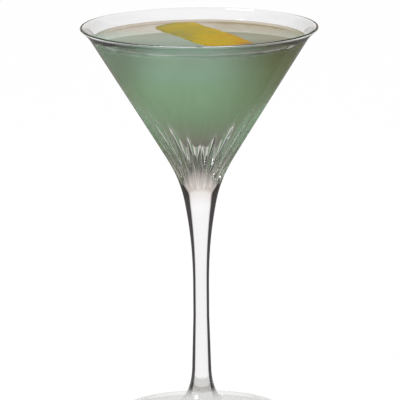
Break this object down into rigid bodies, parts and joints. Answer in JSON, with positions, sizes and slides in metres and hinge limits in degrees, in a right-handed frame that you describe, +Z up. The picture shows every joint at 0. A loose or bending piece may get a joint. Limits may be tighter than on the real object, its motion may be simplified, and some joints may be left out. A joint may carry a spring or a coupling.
{
  "type": "absinthe cocktail in a stemmed glass",
  "caption": "Cloudy pale green absinthe cocktail with a broad citrus peel, in a clear stemmed V-shaped glass with fluted sides.",
  "frame": {"origin": "middle of the foot's underside", "axes": "+Z up through the stem; -Y to the front, where the peel's dipped end lies; +X to the right"},
  "size_m": [0.115, 0.115, 0.19],
  "materials": {
    "glass": "clear pressed and fire-polished glass",
    "drink": "cloudy liquid, still, glossy surface",
    "peel": "waxy citrus skin with fine pores, pale pith below"
  },
  "bodies": {
    "root": {"glass": "glass", "drink": "drink", "peel": "peel"}
  },
  "joints": []
}
